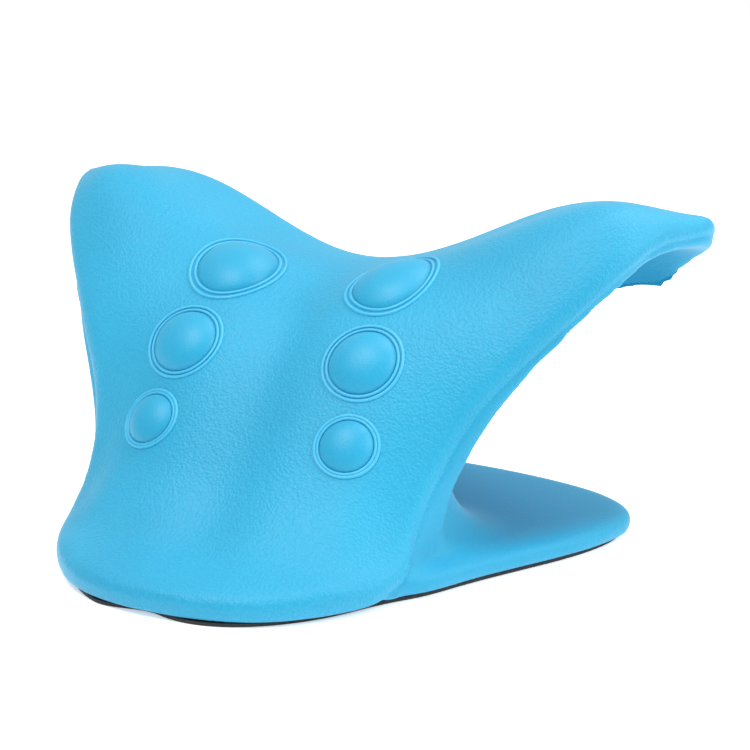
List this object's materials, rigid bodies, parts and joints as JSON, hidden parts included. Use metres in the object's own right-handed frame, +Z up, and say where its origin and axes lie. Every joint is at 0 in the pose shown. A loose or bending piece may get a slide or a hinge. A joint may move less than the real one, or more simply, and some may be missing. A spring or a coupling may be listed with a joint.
{
  "type": "cervical traction device",
  "caption": "Free-standing moulded foam cradle for the neck: sloping front, raised wings, paired massage nodes with bead collars, fan-shaped foot on a non-slip sheet.",
  "frame": {"origin": "on the resting plane, on the mirror plane, under the middle of the cradle", "axes": "+X to the side across the wings, +Y from the neck side to the rear, +Z up"},
  "size_m": [0.272, 0.1898, 0.1254],
  "materials": {
    "cushion_foam": "matte pebbled self-skinned foam",
    "support_foam": "matte smooth self-skinned foam",
    "node_foam": "satin smooth foam",
    "bead_foam": "satin smooth foam",
    "base_sheet": "matte black non-slip"
  },
  "bodies": {
    "root": {"front_pad": "cushion_foam", "rear_support": "support_foam", "base_sheet": "base_sheet", "dome_top_left": "node_foam", "dome_top_right": "node_foam", "dome_middle_left": "node_foam", "dome_middle_right": "node_foam", "dome_lower_left": "node_foam", "dome_lower_right": "node_foam", "collar_top_left": "bead_foam", "collar_top_right": "bead_foam", "collar_middle_left": "bead_foam", "collar_middle_right": "bead_foam", "collar_lower_left": "bead_foam", "collar_lower_right": "bead_foam"}
  },
  "joints": []
}
